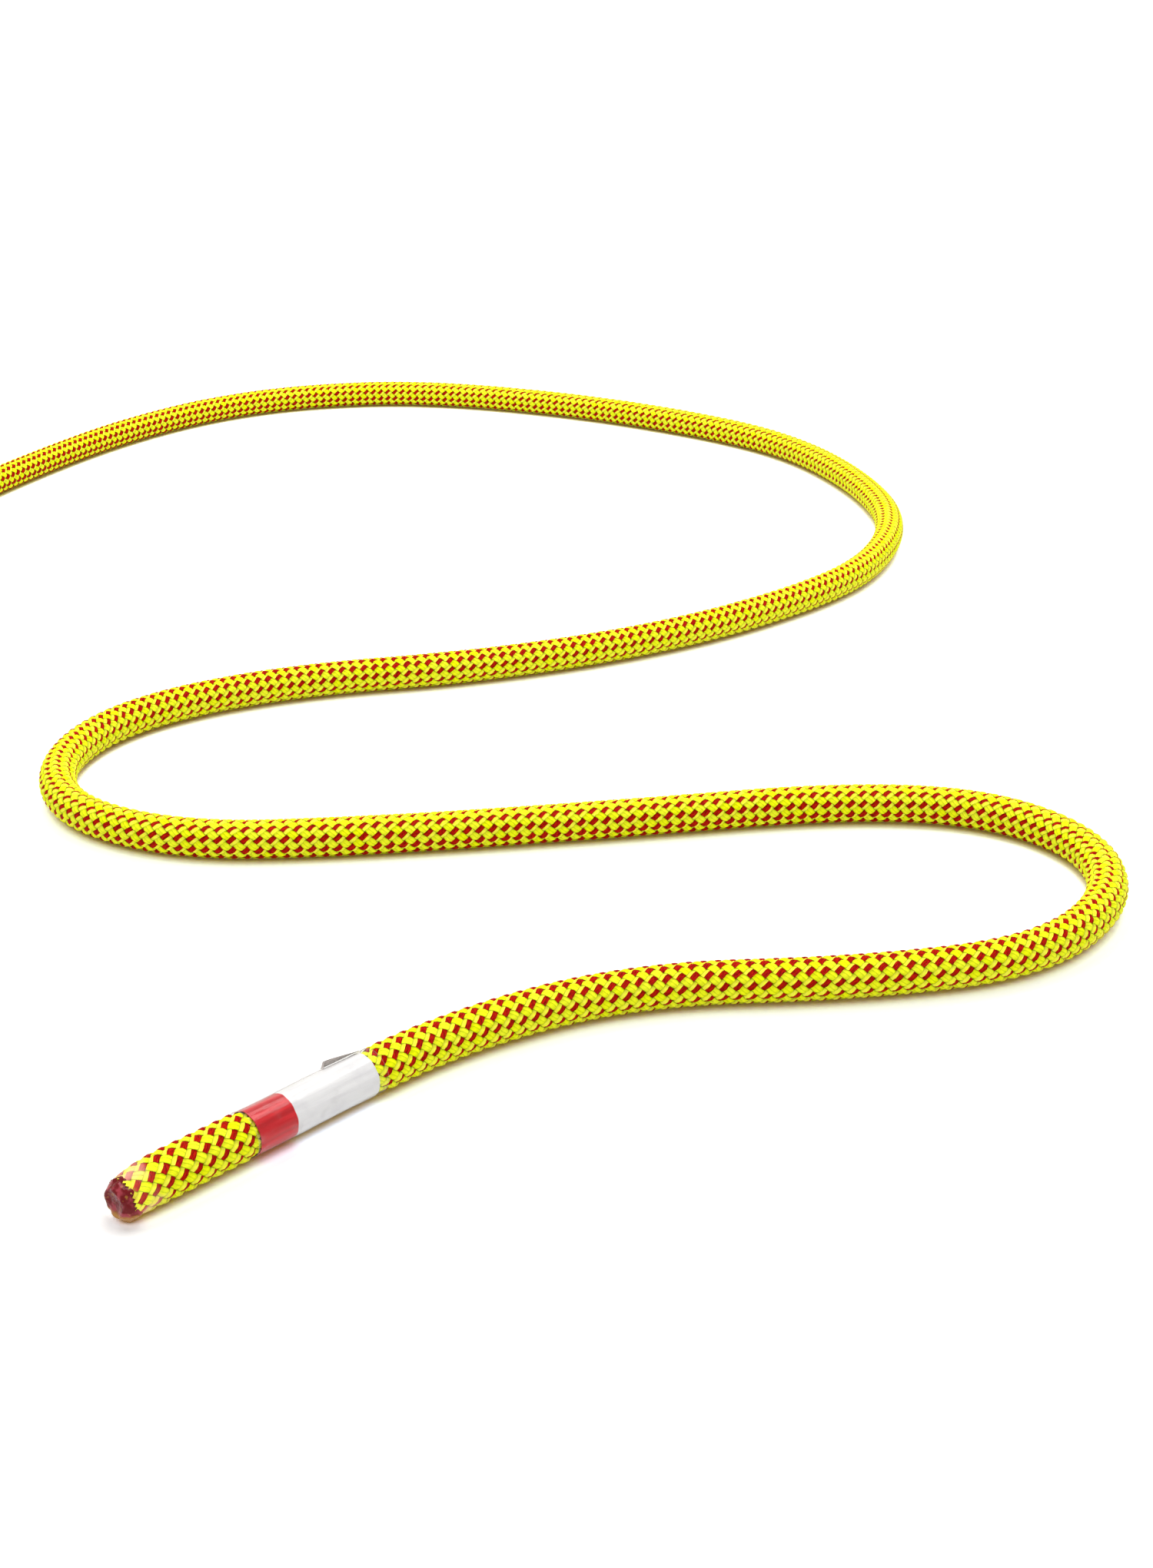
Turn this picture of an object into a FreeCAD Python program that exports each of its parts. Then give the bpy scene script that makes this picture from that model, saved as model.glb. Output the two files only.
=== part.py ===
import FreeCAD, Part
import math
import os
from Sketcher import Constraint

# Dynamic climbing rope: a kernmantle rope whose free stretch lies in hairpins
# on a flat surface and whose remaining length is put away in a tied coil.
# Millimetres, +Z up, +Y away from the viewer, origin on the surface below the
# middle of the whole rope.

Vector = FreeCAD.Vector
UP = Vector(0, 0, 1)

# Driving dimensions, each with what it measures
SIZES = [
    ("rope_diameter", 9.8, "outer diameter of the single rope"),
    ("rope_length", 20000.0, "whole rope, from one sealed end to the other"),
    ("sheath_wall", 1.1, "thickness of the braided sheath"),
    ("core_clearance", 0.1, "between sheath and core, and between core strands"),
    ("seal_length", 12.0, "stretch of each end that the hot knife melted"),
    ("seal_neck", 8.0, "from the sound sheath to the narrow crown"),
    ("seal_shoulder", 2.0, "from the sound sheath to where the taper starts"),
    ("seal_neck_radius", 3.9, "at the foot of the crown"),
    ("seal_tip_radius", 3.0, "at the crown's rim"),
    ("seal_dish", 0.9, "depth of the dimple in the crown"),
    ("seal_rounding", 0.7, "fillet of the crown's rim"),
    ("label_start", 31.0, "from the near tip to the printed label"),
    ("label_length", 33.0, "printed label along the rope"),
    ("label_thickness", 0.12, "printed film"),
    ("sleeve_overhang", 4.5, "clear film past the label on the long side"),
    ("sleeve_margin", 0.8, "clear film past the label towards the tip"),
    ("sleeve_thickness", 0.15, "clear shrink film"),
    ("film_clearance", 0.03, "between rope, label and clear film"),
    ("turn_gap", 0.65, "between neighbouring turns of the coil"),
    ("turns_in_layer", 6.0, "turns side by side in the coil"),
    ("layer_count", 4.0, "layers of turns on each other"),
    ("coil_first_turn", 0.5, "turn count where the free stretch joins"),
    ("coil_tail", 0.15, "part of a turn by which the last layer stops short"),
    ("tie_width", 16.0, "strap along the turns"),
    ("tie_thickness", 1.0, "strap material"),
    ("tie_clearance", 0.3, "between strap and turns"),
    ("tie_lap", 34.0, "strap end lapped over itself on top"),
    ("tie_corner", 4.0, "inner corner of the strap loop"),
]

# Route of the free stretch seen from above, from the near tip to the coil
ROUTE = [
    (130, -302), (158, -270), (187, -240), (226, -219), (277, -216), (318, -206),
    (341, -178), (341, -148), (319, -126), (282, -122), (225, -133), (157, -144),
    (115, -146), (83, -128), (74, -96), (88, -63), (128, -38), (188, -25),
    (243, 0), (287, 35), (313, 68), (327, 115), (321, 163), (301, 213),
    (268, 247), (212, 282), (149, 303), (100, 297), (61, 275), (28, 235),
    (0, 179), (-19, 128), (-41, 83),
]

CORNER_SHARE = 0.45      # part of the shorter run that each rounded corner takes
CLIMB_HALF = 0.25        # turns before and after a reversal that climb a layer
LANDING = 0.125          # turns in which the rope rises onto the first strap
TIE_PLACES = (0.0, 1.0 / 3.0, 2.0 / 3.0)
CORD_SIDES = 6           # facets of the rope, away from its round first stretch
COUNTING_STEPS = 2000    # samples of the coil for its mean radius
SAMPLE = 2.0             # step along the coil for the least gap

document = FreeCAD.newDocument("climbing_rope")
sheet = document.addObject("Spreadsheet::Sheet", "Sizes")
for row, (alias, value, meaning) in enumerate(SIZES, start=1):
    sheet.set("A%d" % row, alias)
    sheet.set("B%d" % row, str(value))
    sheet.set("C%d" % row, meaning)
    sheet.setAlias("B%d" % row, alias)
document.recompute()


def size(alias):
    """Value of one driving dimension."""
    return float(getattr(sheet, alias))


rope_radius = size("rope_diameter") / 2
pitch = size("rope_diameter") + size("turn_gap")
turns_in_layer = int(size("turns_in_layer"))
layer_count = int(size("layer_count"))
first_turn = size("coil_first_turn")
last_turn = layer_count * turns_in_layer - size("coil_tail")
seal_length = size("seal_length")
coil_bottom = size("tie_thickness") + size("tie_clearance") + rope_radius


class Straight:
    """Straight run of a path."""

    def __init__(self, start, end):
        self.start = start
        self.length = start.distanceToPoint(end)
        self.direction = (end - start) * (1 / self.length)

    def point(self, distance):
        return self.start + self.direction * distance

    def heading(self, distance):
        return self.direction

    def edge(self, begin, end):
        return Part.LineSegment(self.point(begin), self.point(end)).toShape()


class Bend:
    """Arc that leaves its start towards a corner and comes to its end from it."""

    def __init__(self, start, corner, end):
        reach = start.distanceToPoint(corner)
        self.first = (corner - start) * (1 / reach)
        second = (end - corner) * (1 / end.distanceToPoint(corner))
        turn = self.first.getAngle(second)
        inward = second - self.first * math.cos(turn)
        self.inward = inward * (1 / inward.Length)
        self.radius = reach / math.tan(turn / 2)
        self.centre = start + self.inward * self.radius
        self.length = self.radius * turn

    def point(self, distance):
        angle = distance / self.radius
        across = self.inward * (-self.radius * math.cos(angle))
        return self.centre + across + self.first * (self.radius * math.sin(angle))

    def heading(self, distance):
        angle = distance / self.radius
        return self.first * math.cos(angle) + self.inward * math.sin(angle)

    def edge(self, begin, end):
        middle = self.point((begin + end) / 2)
        return Part.Arc(self.point(begin), middle, self.point(end)).toShape()


def rounded_path(points):
    """Straight runs through the points, joined by arcs as large as they allow."""
    path = []
    here = points[0]
    for before, corner, after in zip(points, points[1:], points[2:]):
        incoming = (corner - before) * (1 / corner.distanceToPoint(before))
        outgoing = (after - corner) * (1 / after.distanceToPoint(corner))
        shorter = min(corner.distanceToPoint(before), after.distanceToPoint(corner))
        reach = CORNER_SHARE * shorter
        bend = Bend(corner - incoming * reach, corner, corner + outgoing * reach)
        path += [Straight(here, corner - incoming * reach), bend]
        here = corner + outgoing * reach
    path.append(Straight(here, points[-1]))
    return path


def biarc(start, start_heading, end, end_heading):
    """Two arcs that join two places with the given headings smoothly."""
    span = end - start
    both = start_heading + end_heading
    square = 2 * (start_heading.dot(end_heading) - 1)
    along = span.dot(both)
    root = math.sqrt(along * along - square * span.dot(span))
    reach = (along - root) / square
    first_corner = start + start_heading * reach
    last_corner = end - end_heading * reach
    middle = (first_corner + last_corner) * 0.5
    return [Bend(start, first_corner, middle), Bend(middle, last_corner, end)]


def path_length(path):
    return sum(piece.length for piece in path)


def stretch(path, begin, end):
    """Wire of the part of a path between two distances from its start."""
    edges = []
    travelled = 0.0
    for piece in path:
        low = max(begin - travelled, 0.0)
        high = min(end - travelled, piece.length)
        if high - low > 1e-6:
            edges.append(piece.edge(low, high))
        travelled += piece.length
    return Part.Wire(edges)


def frame_at(path, distance):
    """Place, heading and left-hand side of a path at a distance from its start."""
    for piece in path:
        if distance <= piece.length:
            break
        distance -= piece.length
    heading = piece.heading(min(distance, piece.length))
    left = UP.cross(heading)
    return piece.point(distance), heading, left * (1 / left.Length)


def add_shape(label, shape):
    """Document object for a swept piece."""
    piece = document.addObject("Part::Feature", label)
    piece.Label = label
    piece.Shape = shape
    return piece


def round_section(path, distance, radius):
    place, heading, _ = frame_at(path, distance)
    return Part.Wire([Part.Circle(place, heading, radius).toShape()])


def outline_section(path, distance, corners):
    """Closed outline square to a path, from corners as radius and angle."""
    place, _, left = frame_at(path, distance)
    points = [place + left * (radius * math.cos(angle)) + UP * (radius * math.sin(angle))
              for radius, angle in corners]
    return Part.makePolygon(points + points[:1])


def corner_angle(number):
    """Corners of the faceted rope, with one at the top and one on the floor."""
    return math.pi / 2 + 2 * math.pi * number / CORD_SIDES


def faceted_section(path, distance, radius):
    corners = [(radius, corner_angle(number)) for number in range(CORD_SIDES)]
    return outline_section(path, distance, corners)


def swept(path, begin, end, section):
    """Solid made by carrying a section along part of a path."""
    return stretch(path, begin, end).makePipeShell([section], True, False)


def tube(path, begin, end, outer_radius, inner_radius, section):
    outer = swept(path, begin, end, section(path, begin, outer_radius))
    inner = swept(path, begin, end, section(path, begin, inner_radius))
    return outer.cut(inner)


# Free stretch, its clear label film on the surface
label_inner = rope_radius + size("film_clearance")
label_outer = label_inner + size("label_thickness")
sleeve_inner = label_outer + size("film_clearance")
sleeve_outer = sleeve_inner + size("sleeve_thickness")
free_height = sleeve_outer
route_points = [Vector(x, y, free_height) for x, y in ROUTE]
free_path = rounded_path(route_points)
free_length = path_length(free_path)
radii = [piece.radius for piece in free_path if isinstance(piece, Bend)]
print("free stretch %.0f mm, bend radii %s mm" % (free_length, [round(r) for r in radii]))


# Coil: spirals in and out again, climbing a layer where the spiral reverses
def steps_in(turn):
    """Pitches between the coil's outer side and the rope after so many turns."""
    there = turn % (2 * turns_in_layer)
    return min(there, 2 * turns_in_layer - there)


def step_rate(turn):
    """Pitches per turn that the rope moves inward, nothing where it reverses."""
    there = turn % (2 * turns_in_layer)
    if there in (0, turns_in_layer) and turn > 0:
        return 0.0
    return 1.0 if there < turns_in_layer else -1.0


def smooth(share):
    share = min(max(share, 0.0), 1.0)
    return share * share * (3 - 2 * share)


def coil_height(turn):
    start_share = (turn - first_turn) / LANDING
    height = free_height + (coil_bottom - free_height) * smooth(start_share)
    for layer in range(1, layer_count):
        climb_start = layer * turns_in_layer - CLIMB_HALF
        height += pitch * smooth((turn - climb_start) / (2 * CLIMB_HALF))
    return height


def climb_rate(turn):
    """Rise per turn, which is not zero only in the middle of a climb."""
    at_reversal = turn > 0 and turn % turns_in_layer == 0 and turn < layer_count * turns_in_layer
    return 1.5 * pitch / (2 * CLIMB_HALF) if at_reversal else 0.0


def coil_stations():
    """Turn counts at which the coil's arcs meet."""
    stations = {first_turn, first_turn + LANDING, last_turn}
    stations.update(half / 2 for half in range(int(2 * first_turn) + 1, int(2 * last_turn) + 1))
    for layer in range(1, layer_count):
        reversal = layer * turns_in_layer
        stations.update((reversal - CLIMB_HALF, reversal + CLIMB_HALF))
    return sorted(station for station in stations if first_turn <= station <= last_turn)


def outer_turn_radius(coiled_length):
    """Radius of the outermost turn that makes the coil hold a length of rope."""
    turns = last_turn - first_turn
    width = turns / COUNTING_STEPS
    all_steps = sum(steps_in(first_turn + width * (k + 0.5)) for k in range(COUNTING_STEPS))
    return coiled_length / (2 * math.pi * turns) + pitch * all_steps / COUNTING_STEPS


straight_end = size("rope_diameter")
wound_length = size("rope_length") - free_length - seal_length - 2 * straight_end
outer_radius = outer_turn_radius(wound_length)
join_place = route_points[-1]
join_heading = free_path[-1].direction
wound_start = join_place + join_heading * straight_end
start_radius = outer_radius - pitch * steps_in(first_turn)
lead = math.atan(pitch / (2 * math.pi * start_radius))
start_angle = math.atan2(join_heading.y, join_heading.x) + math.pi / 2 + lead
start_arm = Vector(math.cos(start_angle), math.sin(start_angle), 0) * start_radius
coil_centre = wound_start - start_arm


def coil_angle(turn):
    return start_angle - 2 * math.pi * (turn - first_turn)


def coil_place(turn):
    radius = outer_radius - pitch * steps_in(turn)
    angle = coil_angle(turn)
    arm = Vector(math.cos(angle), math.sin(angle), 0) * radius
    return Vector(coil_centre.x + arm.x, coil_centre.y + arm.y, coil_height(turn))


def coil_heading(turn):
    radius = outer_radius - pitch * steps_in(turn)
    angle = coil_angle(turn)
    outward = Vector(math.cos(angle), math.sin(angle), 0)
    onward = Vector(math.sin(angle), -math.cos(angle), 0)
    motion = onward * (2 * math.pi * radius) - outward * (pitch * step_rate(turn))
    motion = motion + UP * climb_rate(turn)
    return motion * (1 / motion.Length)


def make_coil_path():
    stations = coil_stations()
    path = [Straight(join_place, wound_start)]
    for before, after in zip(stations, stations[1:]):
        path += biarc(coil_place(before), coil_heading(before),
                      coil_place(after), coil_heading(after))
    last = stations[-1]
    path.append(Straight(coil_place(last), coil_place(last) + coil_heading(last) * straight_end))
    return path


def least_gap(path, diameter):
    """Least gap between turns, from points a small step apart along the coil."""
    points = []
    for piece in path:
        count = max(1, int(piece.length / SAMPLE))
        points += [piece.point(piece.length * (k + 0.5) / count) for k in range(count)]
    cell = 2 * diameter
    cells = {}
    for number, point in enumerate(points):
        key = (int(point.x // cell), int(point.y // cell), int(point.z // cell))
        cells.setdefault(key, []).append(number)
    apart = int(10 * diameter / SAMPLE)
    least = cell
    around = (-1, 0, 1)
    for (x, y, z), members in cells.items():
        near = [other for a in around for b in around for c in around
                for other in cells.get((x + a, y + b, z + c), [])]
        for number in members:
            for other in near:
                if other - number > apart:
                    least = min(least, points[number].distanceToPoint(points[other]))
    return least - diameter


coil_path = make_coil_path()
print("coil %.0f mm, outer turn radius %.1f mm, centre %.1f %.1f"
      % (path_length(coil_path), outer_radius, coil_centre.x, coil_centre.y))
print("least gap between turns %.2f mm" % least_gap(coil_path, size("rope_diameter")))


# Sheath and core of the free stretch, its first straight run round
sheath_inner = rope_radius - size("sheath_wall")
core_radius = sheath_inner - size("core_clearance")
round_end = free_path[0].length


def strand_corners(number):
    """Wedge of the core, pressed between its neighbours and the sheath."""
    first, last = corner_angle(number), corner_angle(number + 1)
    middle = (first + last) / 2
    half_gap = size("core_clearance") / 2
    slant = half_gap / core_radius
    apex = half_gap / math.sin((last - first) / 2)
    return [(apex, middle), (core_radius, first + slant), (core_radius, last - slant)]


round_stretch = tube(free_path, seal_length, round_end, rope_radius, sheath_inner, round_section)
faceted_stretch = tube(free_path, round_end, free_length, rope_radius, sheath_inner,
                       faceted_section)
add_shape("braided_sheath", round_stretch.fuse(faceted_stretch))
for number in range(CORD_SIDES):
    outline = outline_section(free_path, seal_length, strand_corners(number))
    add_shape("core_strand_%d" % (number + 1),
              swept(free_path, seal_length, free_length, outline))

# Put-away length, sheath and core together
add_shape("coiled_length",
          swept(coil_path, 0.0, path_length(coil_path),
                faceted_section(coil_path, 0.0, rope_radius)))

# Printed label and the clear film shrunk over it
label_start = size("label_start")
label_end = label_start + size("label_length")
add_shape("end_label",
          tube(free_path, label_start, label_end, label_outer, label_inner, round_section))
add_shape("clear_label_sleeve",
          tube(free_path, label_start - size("sleeve_margin"),
               label_end + size("sleeve_overhang"),
               sleeve_outer, sleeve_inner, round_section))


def turned_to(place, heading):
    """Placement that carries +Z to a heading and the origin to a place."""
    return FreeCAD.Placement(place, FreeCAD.Rotation(UP, heading))


def origin_plane(body, role):
    for feature in body.Origin.OriginFeatures:
        if feature.Role == role:
            return feature


def seal_outline(sketch):
    """Half section of a melted end, its axis along the sketch's vertical."""
    corners = [
        ("base_centre", None, None),
        ("base_edge", "Sizes.rope_diameter / 2", None),
        ("shoulder", "Sizes.rope_diameter / 2", "Sizes.seal_shoulder"),
        ("neck", "Sizes.seal_neck_radius", "Sizes.seal_neck"),
        ("rim", "Sizes.seal_tip_radius", "Sizes.seal_length"),
        ("dish", None, "Sizes.seal_length - Sizes.seal_dish"),
    ]
    guess = [(0, 0), (4.9, 0), (4.9, 2), (3.9, 8), (3, 12), (0, 11)]
    count = len(corners)
    for k in range(count):
        start, end = guess[k], guess[(k + 1) % count]
        sketch.addGeometry(Part.LineSegment(Vector(*start, 0), Vector(*end, 0)), False)
    for k in range(count):
        sketch.addConstraint(Constraint("Coincident", k, 2, (k + 1) % count, 1))
    sketch.addConstraint(Constraint("Coincident", 0, 1, -1, 1))
    sketch.addConstraint(Constraint("PointOnObject", 5, 1, -2))
    sketch.addConstraint(Constraint("Horizontal", 0))
    for k, (name, across, along) in enumerate(corners):
        if across:
            number = sketch.addConstraint(Constraint("DistanceX", -1, 1, k, 1, guess[k][0]))
            sketch.renameConstraint(number, name + "_across")
            sketch.setExpression("Constraints.%s_across" % name, across)
        if along:
            number = sketch.addConstraint(Constraint("DistanceY", -1, 1, k, 1, guess[k][1]))
            sketch.renameConstraint(number, name + "_along")
            sketch.setExpression("Constraints.%s_along" % name, along)


def add_seal(label, place, heading):
    """Melted end of the rope: a taper that ends in a dimpled crown."""
    body = document.addObject("PartDesign::Body", label)
    body.Label = label
    sketch = body.newObject("Sketcher::SketchObject", label + "_half_section")
    sketch.AttachmentSupport = [(origin_plane(body, "XZ_Plane"), "")]
    sketch.MapMode = "FlatFace"
    seal_outline(sketch)
    document.recompute()
    turned = body.newObject("PartDesign::Revolution", label + "_turned")
    turned.Profile = sketch
    turned.ReferenceAxis = (sketch, ["V_Axis"])
    turned.Angle = 360
    document.recompute()
    rounded = body.newObject("PartDesign::Fillet", label + "_rounded")
    edges = ["Edge%d" % (k + 1) for k, edge in enumerate(turned.Shape.Edges)
             if is_melted_edge(edge)]
    rounded.Base = (turned, edges)
    rounded.setExpression("Radius", "Sizes.seal_rounding")
    body.Tip = rounded
    body.Placement = turned_to(place, heading)
    return body


def is_melted_edge(edge):
    """Ring of the crown's rim."""
    return isinstance(edge.Curve, Part.Circle) and edge.BoundBox.ZMin > size("seal_neck")


near_place, near_heading, _ = frame_at(free_path, seal_length)
add_seal("near_end_seal", near_place, near_heading * -1)
far_end = coil_path[-1]
add_seal("far_end_seal", far_end.point(far_end.length), far_end.direction)


# Straps that hold the coil, each lapped over itself on top
def coil_reach(share):
    """Nearest and furthest turn radius where the coil has turned by a share."""
    radii = []
    for whole in range(layer_count * turns_in_layer + 1):
        turn = whole + share
        if first_turn <= turn <= last_turn:
            radii.append(outer_radius - pitch * steps_in(turn))
    return min(radii), max(radii)


def add_block(name, inward, outward, lengths, corner):
    """Block round a coil section with its edges along the strap's width rounded."""
    block = document.addObject("Part::Box", name)
    for side, expression in zip(("Length", "Width", "Height"), lengths):
        block.setExpression(side, expression)
    block.Placement.Base = Vector(inward, 0, outward)
    document.recompute()
    rounded = document.addObject("Part::Fillet", name + "_rounded")
    rounded.Base = block
    rounded.Edges = [(k + 1, corner, corner) for k, edge in enumerate(block.Shape.Edges)
                     if abs(edge.tangentAt(edge.FirstParameter).y) > 0.99]
    return rounded


def add_tie(number, share):
    """Strap loop round all the turns at one place of the coil."""
    nearest, furthest = coil_reach(share)
    clearance, thickness = size("tie_clearance"), size("tie_thickness")
    inner_start = nearest - rope_radius - clearance
    name = "coil_tie_%d" % number
    across = "%.6f + Sizes.rope_diameter + 2 * Sizes.tie_clearance" % (furthest - nearest)
    up = ("(Sizes.layer_count - 1) * (Sizes.rope_diameter + Sizes.turn_gap)"
          " + Sizes.rope_diameter + 2 * Sizes.tie_clearance")
    thick = "2 * Sizes.tie_thickness"
    width = "Sizes.tie_width"
    outside = add_block(name + "_outside", inner_start - thickness, 0.0,
                        ("%s + %s" % (across, thick), width, "%s + %s" % (up, thick)),
                        size("tie_corner") + thickness)
    inside = add_block(name + "_inside", inner_start, thickness,
                       (across, width, up), size("tie_corner"))
    ring = document.addObject("Part::Cut", name + "_ring")
    ring.Base = outside
    ring.Tool = inside
    document.recompute()
    lap = document.addObject("Part::Box", name + "_lap")
    lap.setExpression("Length", "Sizes.tie_lap")
    lap.setExpression("Width", width)
    lap.setExpression("Height", "Sizes.tie_thickness")
    middle = (nearest + furthest) / 2
    top = outside.Shape.BoundBox.ZMax
    lap.Placement.Base = Vector(middle - size("tie_lap") / 2, 0, top)
    tie = document.addObject("Part::Fuse", name)
    tie.Label = name
    tie.Base = ring
    tie.Tool = lap
    angle = coil_angle(share)
    rotation = FreeCAD.Rotation(UP, math.degrees(angle))
    half_width = rotation.multVec(Vector(0, -size("tie_width") / 2, 0))
    tie.Placement = FreeCAD.Placement(coil_centre_on_floor + half_width, rotation)
    return tie


coil_centre_on_floor = Vector(coil_centre.x, coil_centre.y, 0)
for number, share in enumerate(TIE_PLACES, start=1):
    add_tie(number, share)

document.recompute()

# Write every piece that is not a step towards another
NODES = ["braided_sheath"]
NODES += ["core_strand_%d" % (k + 1) for k in range(CORD_SIDES)]
NODES += ["coiled_length", "end_label", "clear_label_sleeve", "near_end_seal", "far_end_seal"]
NODES += ["coil_tie_%d" % (k + 1) for k in range(len(TIE_PLACES))]

for thing in document.Objects:
    if "Invalid" in thing.State or "Error" in thing.State:
        raise RuntimeError("%s could not be made" % thing.Name)
pieces = {thing.Label: thing for thing in document.Objects if thing.Label in NODES}
for node in NODES:
    shape = pieces[node].Shape
    if shape.isNull() or not shape.isValid() or len(shape.Solids) != 1:
        raise RuntimeError("%s is not one sound solid" % node)

os.makedirs("parts", exist_ok=True)
whole = FreeCAD.BoundBox()
for node in NODES:
    shape = pieces[node].Shape
    shape.exportStep("parts/%s.step" % node)
    whole.add(shape.BoundBox)
    print("%-20s volume %.1f mm3, faces %d" % (node, shape.Volume, len(shape.Faces)))
section = CORD_SIDES / 2 * rope_radius ** 2 * math.sin(2 * math.pi / CORD_SIDES)
print("coil volume over section times length %.5f"
      % (pieces["coiled_length"].Shape.Volume / (section * path_length(coil_path))))
print("whole part X %.1f to %.1f, Y %.1f to %.1f, Z %.1f to %.1f"
      % (whole.XMin, whole.XMax, whole.YMin, whole.YMax, whole.ZMin, whole.ZMax))
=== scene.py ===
import math

import bpy
import numpy as np
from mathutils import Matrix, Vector, noise


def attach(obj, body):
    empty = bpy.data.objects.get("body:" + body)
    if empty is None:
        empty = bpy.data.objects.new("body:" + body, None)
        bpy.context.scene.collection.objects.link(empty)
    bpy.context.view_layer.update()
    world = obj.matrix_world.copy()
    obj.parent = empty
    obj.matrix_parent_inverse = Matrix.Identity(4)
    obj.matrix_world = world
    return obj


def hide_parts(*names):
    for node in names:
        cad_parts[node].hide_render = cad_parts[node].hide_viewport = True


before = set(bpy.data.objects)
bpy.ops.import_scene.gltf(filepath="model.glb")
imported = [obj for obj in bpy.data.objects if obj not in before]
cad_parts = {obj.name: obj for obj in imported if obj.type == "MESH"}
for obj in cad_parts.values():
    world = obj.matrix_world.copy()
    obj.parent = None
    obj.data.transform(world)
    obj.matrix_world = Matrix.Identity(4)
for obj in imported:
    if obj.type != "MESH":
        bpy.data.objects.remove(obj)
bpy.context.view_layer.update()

FULL_TURN = 2 * math.pi
TO_MM = 1000

# Rope, in metres
ROPE_RADIUS = 0.0049
ROPE_LENGTH = 20.0
FREE_HEIGHT = 0.00523

# Natural unevenness of the rope, as shares of its radius and lengths between swings
SLOW_SWELL = 0.012
SLOW_SWELL_LENGTH = 0.03
QUICK_SWELL = 0.008
QUICK_SWELL_LENGTH = 0.011
FREE_SEED = 1.3
COIL_SEED = 4.1

# Melted ends: distances from the tip, and how far the sheath narrows and sinks there
BRAID_START = 0.0022
CROWN_LENGTH = 0.0026
SEAL_LENGTH = 0.012
TAPER_LENGTH = 0.011
TAPER_POWER = 2.2
NARROWED_SHARE = 0.86
SINK_SHARE = 1.2

# Crown, from its dished face to inside the braid: distance and share of the rim's radius
CROWN_OUTLINE = [
    (0.00070, 0.10), (0.00064, 0.28), (0.00054, 0.44), (0.00044, 0.56), (0.00040, 0.64),
    (0.00052, 0.71), (0.00082, 0.77), (0.00118, 0.83), (0.00160, 0.90), (0.00210, 0.96),
    (0.00260, 1.00), (0.00310, 0.98), (0.00360, 0.92), (0.00400, 0.80),
]

# Rings and sides of the crown, and its face, where lumps stand forwards more than sideways
CROWN_RINGS = 64
CROWN_SIDES = 80
NEAR_CROWN_SEED = 3.7
FAR_CROWN_SEED = 8.1
FACE_EDGE = 0.0003
FACE_FADE = 0.0012
FACE_STEADINESS = 0.6

# Lumps, grain, bubbles and tongues of the melted crown: sizes, and how many to a metre
LUMP_HEIGHT = 0.00055
LUMP_SCALE = 280
GRAIN_HEIGHT = 0.00018
GRAIN_SCALE = 700
BUBBLE_DEPTH = 0.00030
BUBBLE_SCALE = 480
BUBBLE_RADIUS = 0.5
TONGUE_LENGTH = 0.0012
TONGUE_SCALE = 430
TONGUE_START = 0.0016
TONGUE_FADE = 0.0010

# Label and clear film, as distances from the near tip
FILM_START = 0.0309
LABEL_START = 0.0316
RED_BAND_END = 0.0408
FLAP_START = 0.0530
LABEL_END = 0.0619
FILM_END = 0.0643

# Radius of the label, and thicknesses of the wrapped layers
LABEL_RADIUS = 0.00463
LABEL_THICKNESS = 0.0001
FILM_GAP = 0.00004
FILM_THICKNESS = 0.00008

# How the shrunk film draws in the rope under it
SQUEEZE = 0.00048
SQUEEZE_REACH = 0.0014
SQUEEZE_FADE = 0.0016

# Facets and wrinkles of the shrunk label
LABEL_FACETS = 9
FACET_HEIGHT = 0.00009
WRINKLE_HEIGHT = 0.00013
RIPPLE_HEIGHT = 0.00003

# Film's seam and the flap that came up there, with angles counted from below
SEAM_ANGLE = math.pi - 0.42
OVERLAP_ANGLE = 0.75
FLAP_ANGLE = 0.30
FLAP_HEIGHT = 0.0013
FLAP_SLOPE_LENGTH = 0.012
FLAP_SLOPE_SHARE = 0.95
FLAP_SHOWS_FROM = 0.04

# Cut beside the flap, and the film's end past the label
CUT_WIDTH = 0.0004
FILM_END_DROP = 0.00009
FILM_END_FADE = 0.0012

# Rings and sides of the label's mesh, and of the film's on each side of its cut
LABEL_RINGS = 140
LABEL_SIDES = 120
FILM_RINGS = 60
FILM_SIDES = 150

# Braid: one mark of each Z carrier per pitch, and half of the carriers each way
BRAID_PITCH = 0.00319
BRAID_ROWS = 10
BRAID_STEPS = 6
RELIEF = 0.00034
CORNER_RELIEF = 0.00030
FLATTENED_RELIEF = 0.25

# Coil's mesh
COIL_RING_STEP = 0.0075
COIL_SIDES = 20

# Strips of the square baking map, and the margins inside it
FREE_STRIPS = 7
COIL_STRIPS = 24
MAP_START = 0.002
MAP_SPAN = 0.99
STRIP_START = 0.03
STRIP_SPAN = 0.94

# Route of the free stretch in metres, the solid's points with the tip moved by 2 mm
ROUTE = [
    (0.128, -0.301), (0.158, -0.270), (0.187, -0.240), (0.226, -0.219), (0.277, -0.216),
    (0.318, -0.206), (0.341, -0.178), (0.341, -0.148), (0.319, -0.126), (0.282, -0.122),
    (0.225, -0.133), (0.157, -0.144), (0.115, -0.146), (0.083, -0.128), (0.074, -0.096),
    (0.088, -0.063), (0.128, -0.038), (0.188, -0.025), (0.243, 0.000), (0.287, 0.035),
    (0.313, 0.068), (0.327, 0.115), (0.321, 0.163), (0.301, 0.213), (0.268, 0.247),
    (0.212, 0.282), (0.149, 0.303), (0.100, 0.297), (0.061, 0.275), (0.028, 0.235),
    (0.000, 0.179), (-0.019, 0.128), (-0.041, 0.083),
]
ROUTE_RESOLUTION = 60

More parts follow.
